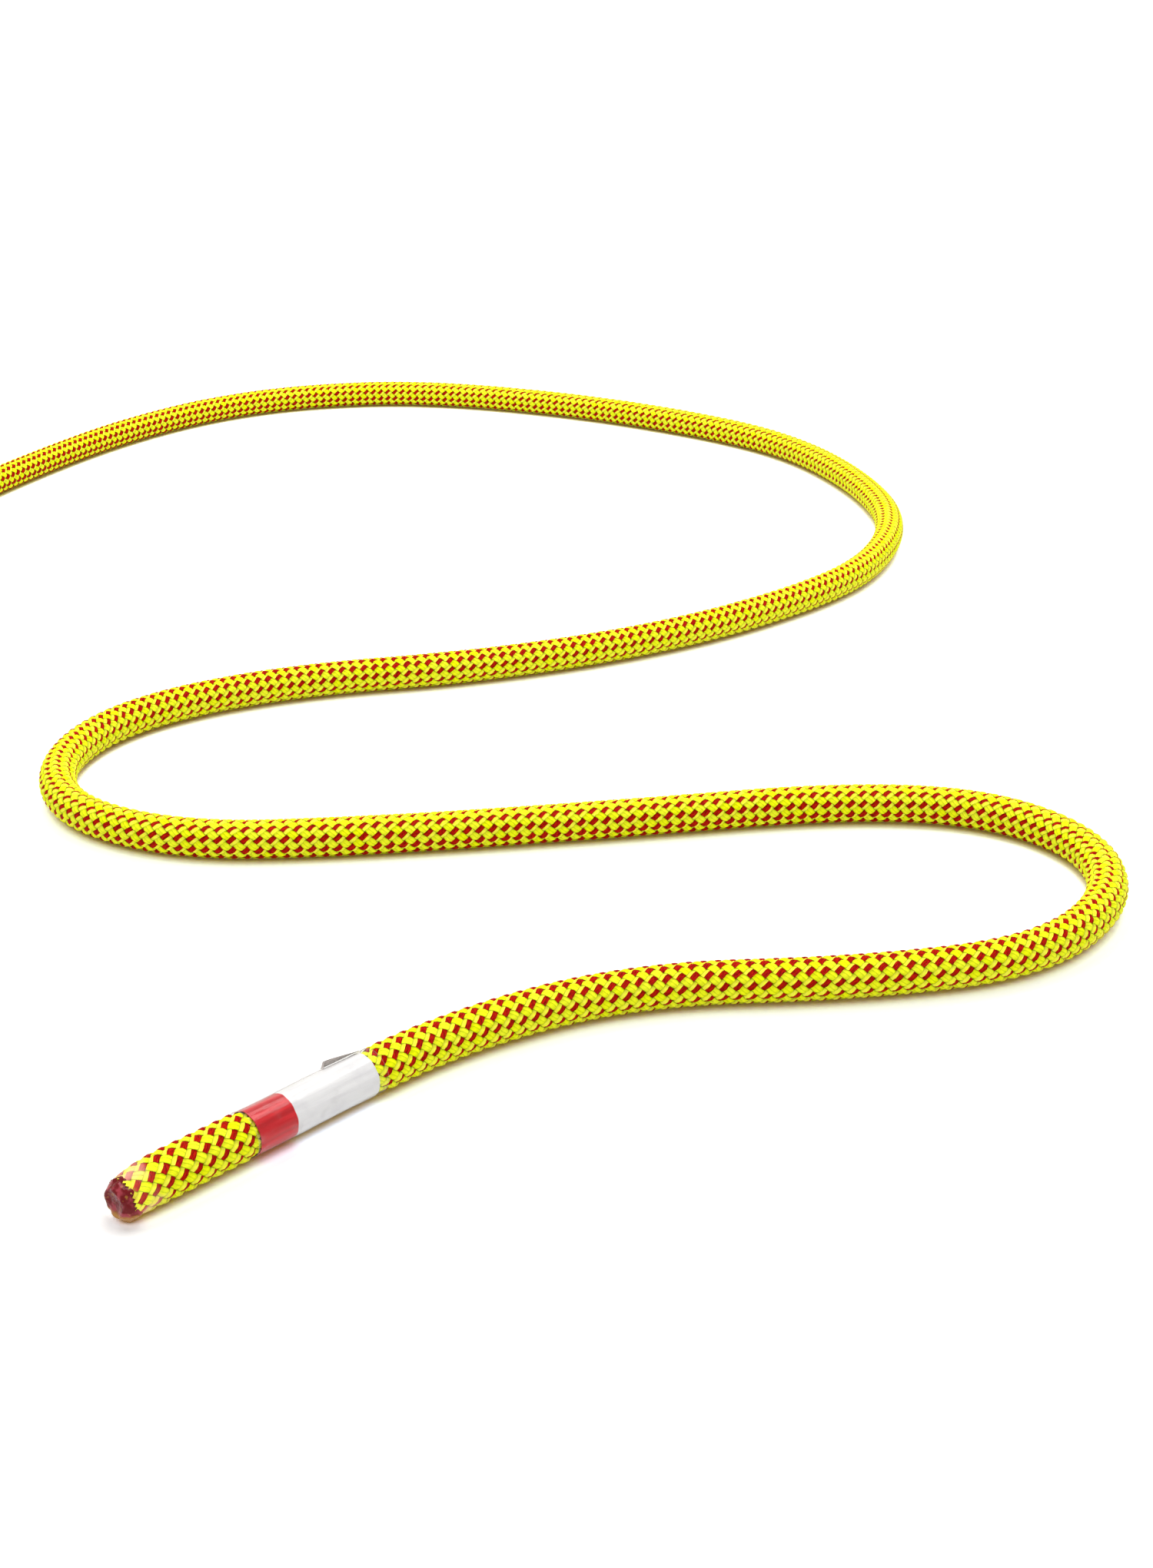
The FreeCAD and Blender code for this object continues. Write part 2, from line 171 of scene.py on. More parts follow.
# Straps round the coil
STRAP_WIDTH = 0.016
STRAP_THICKNESS = 0.001
STRAP_CLEARANCE = 0.0003
STRAP_CORNER = 0.004
STRAP_LAP = 0.034
STRAP_PLACES = (0.0, 1 / 3, 2 / 3)
STRAP_SIDES = 28
STRAP_RING_STEP = 0.0012
EDGE_ROUNDING = 0.3
FACE_ROUNDING = 0.6
CORNER_STEPS = 6
LAP_STEPS = 10
LAP_RAMP = 0.006
LAP_MIDWAY_LIFT = 0.45
LAP_LIFT = 1.02

# Coil, with its places counted in turns
TURN_GAP = 0.00065
TURNS_IN_LAYER = 6
LAYERS = 4
FIRST_TURN = 0.5
LAST_TURN = 23.85
CLIMB_HALF = 0.25
LANDING = 0.125
COIL_BOTTOM = STRAP_THICKNESS + STRAP_CLEARANCE + ROPE_RADIUS
COIL_PITCH = 2 * ROPE_RADIUS + TURN_GAP
POINTS_PER_TURN = 16
COIL_RESOLUTION = 12
TURN_SAMPLES = 2000
LEAD = 2 * ROPE_RADIUS
LEAD_POINT = 0.7
FAR_END_POINTS = 40


# Lines
def nurbs_line(points, resolution):
    """Points along one smooth NURBS line through a route, as an array."""
    curve = bpy.data.curves.new("line", "CURVE")
    curve.dimensions = "3D"
    curve.resolution_u = resolution
    spline = curve.splines.new("NURBS")
    spline.points.add(len(points) - 1)
    for control, place in zip(spline.points, points):
        control.co = (*place, 1)
    spline.order_u = 3
    spline.use_endpoint_u = True
    carrier = bpy.data.objects.new("line", curve)
    bpy.context.collection.objects.link(carrier)
    mesh = bpy.data.meshes.new_from_object(carrier)
    line = np.array([vertex.co for vertex in mesh.vertices])
    bpy.data.objects.remove(carrier)
    bpy.data.curves.remove(curve)
    bpy.data.meshes.remove(mesh)
    return line


class Line:
    """Smooth line with places and side directions at distances from its start."""

    def __init__(self, points):
        steps = np.linalg.norm(np.diff(points, axis=0), axis=1)
        self.points = points
        self.along = np.concatenate([[0], np.cumsum(steps)])
        self.length = self.along[-1]
        self.middles = (self.along[1:] + self.along[:-1]) / 2
        self.headings = np.diff(points, axis=0) / steps[:, None]

    def frames(self, distances):
        """Places, headings, left-hand and upward directions, one row each."""
        place = np.stack([np.interp(distances, self.along, self.points[:, k])
                          for k in range(3)], 1)
        heading = np.stack([np.interp(distances, self.middles, self.headings[:, k])
                            for k in range(3)], 1)
        heading /= np.linalg.norm(heading, axis=1)[:, None]
        left = np.cross([0, 0, 1], heading)
        left /= np.linalg.norm(left, axis=1)[:, None]
        return place, heading, left, np.cross(heading, left)


def smooth(share):
    """Smooth change from 0 to 1 as a share goes from 0 to 1, and level outside."""
    share = min(max(share, 0.0), 1.0)
    return share * share * (3 - 2 * share)


def steps_in(turn):
    """How many turns inwards of the outermost one the spiral is."""
    there = turn % (2 * TURNS_IN_LAYER)
    return min(there, 2 * TURNS_IN_LAYER - there)


def coil_height(turn):
    """Height of the centre line, raised onto the straps and then layer by layer."""
    height = FREE_HEIGHT + (COIL_BOTTOM - FREE_HEIGHT) * smooth((turn - FIRST_TURN) / LANDING)
    for layer in range(1, LAYERS):
        climb = (turn - layer * TURNS_IN_LAYER + CLIMB_HALF) / (2 * CLIMB_HALF)
        height += COIL_PITCH * smooth(climb)
    return height


def coil_outer_radius(turns):
    """Radius of the outermost turn that uses up the rest of the rope."""
    wound = ROPE_LENGTH - free_line.length - SEAL_LENGTH - 2 * LEAD
    samples = [steps_in(FIRST_TURN + turns * (k + 0.5) / TURN_SAMPLES) for k in range(TURN_SAMPLES)]
    return wound / (FULL_TURN * turns) + COIL_PITCH * sum(samples) / len(samples)


def make_coil_route():
    """Centre points of the coil's turns, spiralling in and out layer by layer."""
    turns = LAST_TURN - FIRST_TURN
    outer = coil_outer_radius(turns)
    join = Vector((*ROUTE[-1], FREE_HEIGHT))
    heading = (join - Vector((*ROUTE[-2], FREE_HEIGHT))).normalized()
    radius = outer - COIL_PITCH * steps_in(FIRST_TURN)
    start_angle = math.atan2(heading.y, heading.x) + math.pi / 2
    start_angle += math.atan(COIL_PITCH / (FULL_TURN * radius))
    start = join + heading * LEAD
    centre = start - Vector((math.cos(start_angle), math.sin(start_angle), 0)) * radius
    count = round(turns * POINTS_PER_TURN)
    # The control points lie a little outside the circle that the line draws
    bulge = 1 / math.cos(math.pi / POINTS_PER_TURN)
    route = [join, join + heading * LEAD * LEAD_POINT]
    for k in range(1, count + 1):
        turn = FIRST_TURN + turns * k / count
        angle = start_angle - FULL_TURN * (turn - FIRST_TURN)
        radius = (outer - COIL_PITCH * steps_in(turn)) * bulge
        route.append(Vector((centre.x + radius * math.cos(angle),
                             centre.y + radius * math.sin(angle), coil_height(turn))))
    onward = (route[-1] - route[-2]).normalized()
    route.append(route[-1] + onward * LEAD)
    route.append(route[-1] + onward * SEAL_LENGTH)
    return route, centre, start_angle, outer


free_line = Line(nurbs_line([(x, y, FREE_HEIGHT) for x, y in ROUTE], ROUTE_RESOLUTION))
coil_route, coil_centre, coil_start_angle, outer_radius = make_coil_route()
coil_line = Line(nurbs_line(coil_route, COIL_RESOLUTION))
far_end = Line(coil_line.points[::-1][:FAR_END_POINTS])


# Meshes
def make_object(mesh, material):
    """Piece of the rope, named as its mesh."""
    piece = bpy.data.objects.new(mesh.name, mesh)
    bpy.context.collection.objects.link(piece)
    mesh.materials.append(material)
    mesh.polygons.foreach_set("use_smooth", [True] * len(mesh.polygons))
    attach(piece, "root")
    return piece


def make_mesh(name, vertices, faces, **maps):
    """Mesh with one pair of numbers per face corner in each named map."""
    mesh = bpy.data.meshes.new(name)
    mesh.from_pydata(np.asarray(vertices).tolist(), [], [list(face) for face in faces])
    for map_name, values in maps.items():
        layer = mesh.uv_layers.new(name=map_name)
        corners = np.zeros((len(mesh.loops), 2), np.float32)
        corners[: len(values)] = values
        layer.uv.foreach_set("vector", corners.ravel())
    return mesh


def pairs(first, second):
    """Two numbers for each face corner, as a map needs them."""
    return np.stack([first, second], -1).reshape(-1, 2)


def ring_angles(sides):
    """Angles of the points of a ring, evenly spaced from below."""
    return FULL_TURN * np.arange(sides) / sides


def around(line, distances, angles, radii):
    """Points at angles round a line, counted from below, one row per distance."""
    place, _, left, upward = line.frames(distances)
    turned = angles - math.pi / 2
    return (place[:, None] + left[:, None] * (radii * np.cos(turned))[..., None]
            + upward[:, None] * (radii * np.sin(turned))[..., None])


def quads(rings, sides, closed=True):
    """Ring and side numbers of the corners of every quad in a tube or strip."""
    spans = sides if closed else sides - 1
    ring, side = np.divmod(np.arange((rings - 1) * spans), spans)
    return np.stack([ring, side], 1)[:, None, :] + np.array([[0, 0], [0, 1], [1, 1], [1, 0]])


def numbered(corners, sides):
    """Vertex numbers of the corners that quads gives."""
    return (corners[..., 0] * sides + corners[..., 1] % sides).tolist()


def fans(rings, sides):
    """Triangles from two middle points, the last vertices, to a tube's end rings."""
    count = rings * sides
    near = [(count, (k + 1) % sides, k) for k in range(sides)]
    last = (rings - 1) * sides
    far = [(count + 1, last + k, last + (k + 1) % sides) for k in range(sides)]
    return near + far


def closed_tube(vertices):
    """Points, faces and quad corners of a tube given as rings, with closed ends."""
    rings, sides = vertices.shape[:2]
    middles = [vertices[0].mean(axis=0), vertices[-1].mean(axis=0)]
    corners = quads(rings, sides)
    points = vertices.reshape(-1, 3).tolist() + middles
    return points, numbered(corners, sides) + fans(rings, sides), corners


def wander(distance, period, seed):
    """Slow random swing along the rope, about from -1 to 1."""
    return noise.noise(Vector((distance / period, seed, 0.5)))


def wave(distance, seed):
    """Slight natural swell and dip of the rope's thickness."""
    slow = wander(distance, SLOW_SWELL_LENGTH, seed)
    quick = wander(distance, QUICK_SWELL_LENGTH, seed + 5)
    return 1 + SLOW_SWELL * slow + QUICK_SWELL * quick


def end_radius(distance):
    """Sheath radius near a rope end, drawn in where the end was melted."""
    rest = 1 - min(max((distance - CROWN_LENGTH) / TAPER_LENGTH, 0.0), 1.0)
    return ROPE_RADIUS * (1 - (1 - NARROWED_SHARE) * rest ** TAPER_POWER)


def free_radius(distance):
    """Sheath radius, narrower at the melted end and under the shrunk film."""
    inside = smooth((distance - FILM_START + SQUEEZE_REACH) / SQUEEZE_FADE)
    inside *= smooth((FILM_END + SQUEEZE_REACH - distance) / SQUEEZE_FADE)
    return end_radius(distance) * wave(distance, FREE_SEED) - SQUEEZE * inside


def settled(distance):
    """How far the narrowed end has sunk towards the floor."""
    return SINK_SHARE * (ROPE_RADIUS - end_radius(distance))


def free_relief(distance):
    """Share of the braid's relief that the hot knife left standing."""
    whole = smooth((distance - CROWN_LENGTH) / (SEAL_LENGTH - CROWN_LENGTH))
    return FLATTENED_RELIEF + (1 - FLATTENED_RELIEF) * whole


def strip_map(along, round_share, strips, per_strip):
    """Place of each corner in a square image that holds the tube as strips."""
    strip = (along.min(axis=1, keepdims=True) // per_strip).clip(0, strips - 1)
    across = MAP_START + MAP_SPAN * (along - strip * per_strip) / (per_strip + 2)
    return pairs(across, (strip + STRIP_START + STRIP_SPAN * round_share) / strips)


def zigzag_caps(middle, last, half):
    """Triangles from two middle points to the zigzag ends of a braided tube."""
    faces = []
    for k in range(half):
        onward = (k + 1) % half
        faces.append((middle, half + k, k))
        faces.append((middle, onward, half + k))
        faces.append((middle + 1, last + k, last - half + k))
        faces.append((middle + 1, last - half + k, last + onward))
    return faces


def braided_tube(name, line, begin, end):
    """Tube of the sheath whose facets are the diamonds between braid crossings."""
    sides = BRAID_STEPS * BRAID_ROWS
    half = sides // 2
    rings = 2 * round((end - begin) / BRAID_PITCH * BRAID_STEPS / 2)
    i = np.repeat(np.arange(rings + 1), half)
    j = np.tile(np.arange(half), rings + 1) * 2 + i % 2
    ring_distance = begin + (end - begin) * np.arange(rings + 1) / rings
    radius = np.array([free_radius(d) for d in ring_distance])[i]
    depth = np.array([free_relief(d) for d in ring_distance])[i]
    sunk = np.array([settled(d) for d in ring_distance])
    on_a = (i - j) // 2 % 3 == 0
    on_b = (i + j) // 2 % 3 == 0
    radius = radius - depth * (RELIEF * (on_a | on_b) + CORNER_RELIEF * (on_a & on_b))
    angle = FULL_TURN * j / sides - math.pi / 2
    place, _, left, upward = line.frames(ring_distance)
    sunk_place = place - upward * sunk[:, None]
    vertices = (sunk_place[i] + left[i] * (radius * np.cos(angle))[:, None]
                + upward[i] * (radius * np.sin(angle))[:, None])
    first = np.stack([i, j], 1)[: (rings - 1) * half]
    corner = first[:, None, :] + np.array([[1, -1], [2, 0], [1, 1], [0, 0]])
    wrapped = corner[..., 0] * half + (corner[..., 1] - corner[..., 0] % 2) // 2 % half
    faces = wrapped.tolist() + zigzag_caps(len(vertices), rings * half, half)
    per_strip = math.ceil((rings + 1) / FREE_STRIPS)
    bake = strip_map(corner[..., 0], (corner[..., 1] + 1) / (sides + 2), FREE_STRIPS, per_strip)
    braid = pairs(corner[..., 0] / BRAID_STEPS + 0.5, -corner[..., 1] / BRAID_STEPS)
    vertices = np.vstack([vertices, sunk_place[:1], sunk_place[-1:]])
    return make_mesh(name, vertices, faces, Braid=braid, OFBake=bake), place


def plain_tube(name, line, end):
    """Smooth tube of the coil that carries the braid as a pattern."""
    rings = round(end / COIL_RING_STEP) + 1
    distances = np.linspace(0, end, rings)
    radius = np.array([end_radius(line.length - d) * wave(d, COIL_SEED) for d in distances])
    rows = around(line, distances, ring_angles(COIL_SIDES), radius[:, None])
    vertices, faces, corner = closed_tube(rows)
    share = corner[..., 1] / COIL_SIDES
    bake = strip_map(corner[..., 0], share, COIL_STRIPS, math.ceil(rings / COIL_STRIPS))
    along = corner[..., 0] * (end / (rings - 1) / BRAID_PITCH)
    mesh = make_mesh(name, vertices, faces, Braid=pairs(along, -share * BRAID_ROWS), OFBake=bake)
    return mesh, line.frames(distances)[0]


def bubble(spot):
    """Depth of the bubbles that burst in the melted end, from 0 to 1."""
    distances, _ = noise.voronoi(spot * BUBBLE_SCALE)
    return smooth(1.0 - distances[0] / BUBBLE_RADIUS)


def lump(spot, seed):
    """How far the melted nylon stands out at a spot."""
    swell = LUMP_HEIGHT * noise.noise(spot * LUMP_SCALE + Vector((seed, 0, 0)))
    swell += GRAIN_HEIGHT * noise.noise(spot * GRAIN_SCALE + Vector((0, seed, 0)))
    return swell - BUBBLE_DEPTH * bubble(spot)


def tongue(spot, distance, seed):
    """How far the melted nylon ran back over the braid at a spot."""
    run = TONGUE_LENGTH * noise.noise(spot * TONGUE_SCALE + Vector((0, 0, seed)))
    return run * smooth((distance - TONGUE_START) / TONGUE_FADE)


def melted_crown(name, line, seed, sunk):
    """Blunt lump where sheath and core were melted together by a hot knife."""
    outline = np.array(CROWN_OUTLINE)
    reach = np.linspace(0, len(outline) - 1, CROWN_RINGS)
    distances = np.interp(reach, np.arange(len(outline)), outline[:, 0])
    radii = np.interp(reach, np.arange(len(outline)), outline[:, 1]) * ROPE_RADIUS * NARROWED_SHARE
    vertices = around(line, distances, ring_angles(CROWN_SIDES), radii[:, None])
    place, heading, _, upward = line.frames(distances)
    for ring, distance in enumerate(distances):
        face = 1 - smooth((distance - FACE_EDGE) / FACE_FADE)
        for side in range(CROWN_SIDES):
            spot = Vector(vertices[ring, side])
            outward = (vertices[ring, side] - place[ring]) / radii[ring]
            swell = lump(spot, seed)
            push = outward * swell * (1 - FACE_STEADINESS * face)
            along = tongue(spot, distance, seed) - swell * face
            vertices[ring, side] += push + heading[ring] * along - upward[ring] * sunk
    points, faces, _ = closed_tube(vertices)
    return make_mesh(name, points, faces)


def wrap_radius(distance, angle):
    """Outer radius of the label, shrunk in facets with soft lengthwise wrinkles."""
    wrinkles_round = 2.2
    wrinkles_along = 70
    ripples_round = 3.5
    ripples_along = 260
    facet = abs(math.sin(LABEL_FACETS / 2 * angle + 0.4))
    spot = Vector((math.cos(angle) * wrinkles_round, math.sin(angle) * wrinkles_round,
                   distance * wrinkles_along))
    wrinkle = noise.noise(spot + Vector((9.0, 0.0, 4.0)))
    ripple = noise.noise(Vector((angle * ripples_round, distance * ripples_along, 2.0)))
    return (LABEL_RADIUS + FACET_HEIGHT * facet + WRINKLE_HEIGHT * wrinkle
            + RIPPLE_HEIGHT * ripple)


def wrapping(line, distances, angles, offset):
    """Points of a film that follows the label's surface."""
    radii = np.array([[wrap_radius(d, a) for a in angles] for d in distances]) + offset
    return around(line, distances, angles, radii)


def printed_label(name, line):
    """Label as one layer round the rope, with millimetres along it in its map."""
    distances = np.linspace(LABEL_START, LABEL_END, LABEL_RINGS)
    vertices = wrapping(line, distances, ring_angles(LABEL_SIDES), 0.0)
    corner = quads(LABEL_RINGS, LABEL_SIDES)
    wrap = pairs(distances[corner[..., 0]] * TO_MM, corner[..., 1] / LABEL_SIDES)
    return make_mesh(name, vertices.reshape(-1, 3), numbered(corner, LABEL_SIDES), Wrap=wrap)


def clear_film(name, line):
    """Shrunk film over the label, whose overlapping edge has come up at one end."""
    distances = np.concatenate([np.linspace(FILM_START, FLAP_START, FILM_RINGS),
                                np.linspace(FLAP_START + CUT_WIDTH, FILM_END, FILM_RINGS)])
    span = FULL_TURN + OVERLAP_ANGLE
    angles = SEAM_ANGLE - OVERLAP_ANGLE + span * np.arange(FILM_SIDES) / (FILM_SIDES - 1)
    last_angle = SEAM_ANGLE + FULL_TURN
    free = np.array([smooth((a - last_angle + FLAP_ANGLE) / FLAP_ANGLE) for a in angles])
    slope = np.array([smooth((d - FLAP_START) / FLAP_SLOPE_LENGTH) for d in distances])
    loose = (distances > FLAP_START) * (1 - FLAP_SLOPE_SHARE * slope)
    past_label = np.array([smooth((d - LABEL_END) / FILM_END_FADE) for d in distances])
    layer = FILM_GAP + FILM_THICKNESS
    layers = 1 + (angles > last_angle - OVERLAP_ANGLE)
    offset = layer * layers[None] + FLAP_HEIGHT * free[None] * loose[:, None]
    offset = offset - FILM_END_DROP * past_label[:, None]
    vertices = wrapping(line, distances, angles, offset)
    corner = quads(len(distances), FILM_SIDES, closed=False)
    faces = (corner[..., 0] * FILM_SIDES + corner[..., 1]).tolist()
    lifted = free[corner[..., 1]] * np.sqrt(loose[corner[..., 0]])
    spread = pairs(distances[corner[..., 0]] * TO_MM, lifted)
    mesh = make_mesh(name, vertices.reshape(-1, 3), faces, Film=spread)
    on_flap = lifted.max(axis=1) > FLAP_SHOWS_FROM
    mesh.polygons.foreach_set("material_index", on_flap.astype(int).tolist())
    return mesh


def thicken(piece, thickness, edge_material=0):
    """Gives a film its thickness, inwards."""
    modifier = piece.modifiers.new("thickness", "SOLIDIFY")
    modifier.thickness = thickness
    modifier.offset = -1
    modifier.material_offset_rim = edge_material


def coil_reach(share):
    """Nearest and furthest turn radius where the coil has turned by a share."""
    turns = [whole + share for whole in range(LAYERS * TURNS_IN_LAYER + 1)]
    radii = [outer_radius - COIL_PITCH * steps_in(turn) for turn in turns
             if FIRST_TURN <= turn <= LAST_TURN]
    return min(radii), max(radii)


def strap_line(share):
    """Middle line of a strap round the turns, as radius and height, lapped on top."""
    nearest, furthest = coil_reach(share)
    grown = ROPE_RADIUS + STRAP_CLEARANCE + STRAP_THICKNESS / 2
    bottom = STRAP_THICKNESS / 2
    top = bottom + (LAYERS - 1) * COIL_PITCH + 2 * grown
    corner = STRAP_CORNER + STRAP_THICKNESS / 2
    near, far = nearest - grown + corner, furthest + grown - corner
    low, high = bottom + corner, top - corner
    lap_start = (nearest + furthest) / 2 + STRAP_LAP / 2
    line = [(lap_start - STRAP_LAP * k / LAP_STEPS, top) for k in range(LAP_STEPS)]
    for radius, height, first in ((near, high, 90), (near, low, 180), (far, low, 270), (far, high, 0)):
        for step in range(CORNER_STEPS + 1):
            angle = math.radians(first + 90 * step / CORNER_STEPS)
            line.append((radius + corner * math.cos(angle), height + corner * math.sin(angle)))
    line += [(lap_start + LAP_RAMP, top),
             (lap_start + LAP_RAMP / 2, top + STRAP_THICKNESS * LAP_MIDWAY_LIFT)]
    line += [(lap_start - STRAP_LAP * k / LAP_STEPS, top + STRAP_THICKNESS * LAP_LIFT)
             for k in range(LAP_STEPS + 1)]
    return np.array(line)


def rounded(values, power):
    """Cosines or sines of a ring, drawn out towards a rectangle by a low power."""
    return np.sign(values) * np.abs(values) ** power


def strap(name, share):
    """Woven strap with rounded edges, closed by its own lapped end, and its length."""
    corners = strap_line(share)
    steps = np.linalg.norm(np.diff(corners, axis=0), axis=1)
    along = np.concatenate([[0], np.cumsum(steps)])
    distances = np.linspace(0, along[-1], round(along[-1] / STRAP_RING_STEP))
    radius = np.interp(distances, along, corners[:, 0])
    height = np.interp(distances, along, corners[:, 1])
    way = np.stack([np.gradient(radius), np.gradient(height)], 1)
    way /= np.linalg.norm(way, axis=1)[:, None]
    turn = ring_angles(STRAP_SIDES)
    across = STRAP_WIDTH / 2 * rounded(np.cos(turn), EDGE_ROUNDING)
    thick = STRAP_THICKNESS / 2 * rounded(np.sin(turn), FACE_ROUNDING)
    out = radius[:, None] + way[:, 1:] * thick[None]
    up = height[:, None] - way[:, :1] * thick[None]
    angle = coil_start_angle - FULL_TURN * (share - FIRST_TURN)
    outward = np.array([math.cos(angle), math.sin(angle), 0])
    sideways = np.array([-math.sin(angle), math.cos(angle), 0])
    centre = np.array([coil_centre.x, coil_centre.y, 0])
    vertices = centre + outward * out[..., None] + np.array([0, 0, 1]) * up[..., None]
    points, faces, corner = closed_tube(vertices + sideways * across[None, :, None])
    weave = pairs(distances[corner[..., 0]] * TO_MM, across[corner[..., 1] % STRAP_SIDES] * TO_MM)
    return make_mesh(name, points, faces, Weave=weave), distances[-1]


# Materials
class Nodes:
    """Short forms for the nodes of one material."""

    def __init__(self, name):
        self.material = bpy.data.materials.new(name)
        self.material.use_nodes = True
        self.tree = self.material.node_tree
        self.tree.nodes.clear()
        self.shader = self.tree.nodes.new("ShaderNodeBsdfPrincipled")
        output = self.tree.nodes.new("ShaderNodeOutputMaterial")
        self.link(self.shader.outputs[0], output.inputs[0])

    def link(self, source, target):
        self.tree.links.new(source, target)

    def feed(self, socket, value):
        """Links another node's output to a socket, or sets a plain value."""
        if isinstance(value, bpy.types.NodeSocket):
            self.link(value, socket)
        else:
            socket.default_value = value

    def math(self, operation, *values):
        node = self.tree.nodes.new("ShaderNodeMath")
        node.operation = operation
        for socket, value in zip(node.inputs, values):
            self.feed(socket, value)
        return node.outputs[0]

    def ramp(self, value, low, high, start=0.0, end=1.0):
        """Smooth change from start to end as a value goes from low to high."""
        node = self.tree.nodes.new("ShaderNodeMapRange")
        node.interpolation_type = "SMOOTHSTEP"
        for socket, number in zip(node.inputs, (value, low, high, start, end)):
            self.feed(socket, number)
        return node.outputs[0]

    def mix(self, share, first, second):
        """Colour between two others."""
        node = self.tree.nodes.new("ShaderNodeMix")
        node.data_type = "RGBA"
        for socket, value in zip((node.inputs[0], node.inputs[6], node.inputs[7]),
                                 (share, first, second)):
            self.feed(socket, (*value, 1) if isinstance(value, tuple) else value)
        return node.outputs[2]

    def tinted(self, colour, share, strength, tint):
        """Colour turned towards a tint by a share of a strength."""
        return self.mix(self.math("MULTIPLY", share, strength), colour, tint)

    def between(self, share, first, second):
        """Number between two others."""
        return self.math("ADD", self.math("MULTIPLY", self.math("SUBTRACT", second, first), share),
                         first)

    def centred(self, value, size):
        """Number from 0 to 1 moved and sized to lie evenly round zero."""
        return self.math("MULTIPLY_ADD", value, size, -size / 2)

    def dome(self, value, half_width):
        """Flat-topped round from 1 at zero down to 0 at the half width."""
        share = self.math("POWER", self.math("ABSOLUTE", self.math("DIVIDE", value, half_width)), 3.0)
        return self.math("SQRT", self.math("MAXIMUM", self.math("SUBTRACT", 1.0, share), 0.0))

    def map(self, name):
        node = self.tree.nodes.new("ShaderNodeUVMap")
        node.uv_map = name
        return node.outputs[0]

    def parts(self, vector):
        node = self.tree.nodes.new("ShaderNodeSeparateXYZ")
        self.link(vector, node.inputs[0])
        return node.outputs[0], node.outputs[1], node.outputs[2]

    def vector(self, *values):
        node = self.tree.nodes.new("ShaderNodeCombineXYZ")
        for socket, value in zip(node.inputs, values):
            self.feed(socket, value)
        return node.outputs[0]

    def noise(self, vector, scale, detail=2.0):
        node = self.tree.nodes.new("ShaderNodeTexNoise")
        self.link(vector, node.inputs["Vector"])
        node.inputs["Scale"].default_value = scale
        node.inputs["Detail"].default_value = detail
        return node.outputs[0]

    def random(self, vector):
        node = self.tree.nodes.new("ShaderNodeTexWhiteNoise")
        self.link(vector, node.inputs["Vector"])
        return node.outputs[0]

    def place(self):
        node = self.tree.nodes.new("ShaderNodeTexCoord")
        return node.outputs["Object"]

    def bump(self, height, distance):
        node = self.tree.nodes.new("ShaderNodeBump")
        node.inputs["Distance"].default_value = distance
        node.inputs["Strength"].default_value = 1.0
        self.link(height, node.inputs["Height"])
        self.link(node.outputs[0], self.shader.inputs["Normal"])

    def finish(self, **values):
        """Sets the shader's sockets and gives the finished material."""
        for name, value in values.items():
            self.feed(self.shader.inputs[name.replace("_", " ")], value)
        return self.material


YELLOW = (0.98, 1.00, 0.001)
DEEP_YELLOW = (0.80, 0.93, 0.001)
PALE_YELLOW = (1.00, 0.98, 0.10)
RED = (0.58, 0.010, 0.001)
# Dark red for the red yarn's filament streaks, partly painted shade, and for painted shade in creases
# and hollows
DARK_RED_STREAK_AND_SHADE = (0.06, 0.001, 0.0005)
# Lime for painted shade along the strands' borders and in the groove between yarns
LIME_PAINTED_SHADE = (0.40, 0.60, 0.0005)
# Painted shade for the braid's creases and hollows, where the strands dive under
PAINTED_CREASE_SHADE = (0.26, 0.33, 0.0005)
SCORCHED = (0.50, 0.30, 0.04)
# Faint pink haze of the glazed melt, and painted glints where its patches are strongest
GLAZE_PINK_AND_PAINTED_GLINT = (0.95, 0.52, 0.40)

# Strands of the braid, with widths as shares of their spacing
STRAND_WANDER = 0.16
STRAND_RISE = 0.62
TWO_TONE_HALF_WIDTH = 0.55
YELLOW_HALF_WIDTH = 0.50
SPLIT_SHIFT = -0.09
GROOVE_HALF_WIDTH = 0.09

# Filaments across a strand, and how they stretch and twist along it
FILAMENTS = 24.0
FILAMENT_STRETCH = 2.4
FILAMENT_TWIST = 3.0

# Relief of the braid's surface, as shares of its bump in metres, and its roughness
GROOVE_DEPTH = 0.16
FILAMENT_DEPTH = 0.16
BRAID_BUMP = 0.00062
BRAID_ROUGHNESS = 0.55

# Glaze and scorch of the melted braid, with places in metres from the tip
GLAZE_END = SEAL_LENGTH * 1.1
SCORCH_END = CROWN_LENGTH + 0.0022
GLAZE_PATCHES = 0.009
GLAZE_FLATTENING = 0.7
GLAZE_SMOOTHING = 0.38


def weave_pattern(n, u, v):
    """Lead and share of the two-tone strands, surface, place on the top strand, chance."""
    a = n.math("ADD", u, v)
    b = n.math("SUBTRACT", u, v)
    cell_a = n.math("FLOOR", n.math("ADD", a, 0.5))
    cell_b = n.math("FLOOR", n.math("ADD", b, 0.5))
    off_a = n.math("SUBTRACT", a, cell_a)
    off_b = n.math("SUBTRACT", b, cell_b)
    # Each strand rises over one neighbour and dives under the next
    swing_b = n.math("COSINE", n.math("MULTIPLY", n.math("SUBTRACT", a, cell_b), math.pi))
    swing_a = n.math("COSINE", n.math("MULTIPLY", n.math("SUBTRACT", b, cell_a), math.pi))
    height_b = n.math("MULTIPLY_ADD", swing_b, STRAND_RISE, n.dome(off_b, TWO_TONE_HALF_WIDTH))
    height_a = n.math("MULTIPLY_ADD", swing_a, -STRAND_RISE, n.dome(off_a, YELLOW_HALF_WIDTH))
    lead = n.math("SUBTRACT", height_b, height_a)
    two_tone_share = n.ramp(lead, -0.05, 0.05)
    surface = n.math("MAXIMUM", height_a, height_b)
    across = n.between(two_tone_share, off_a, off_b)
    along = n.between(two_tone_share, off_b, off_a)
    return lead, two_tone_share, surface, across, along, n.random(n.vector(cell_a, cell_b, 0.0))


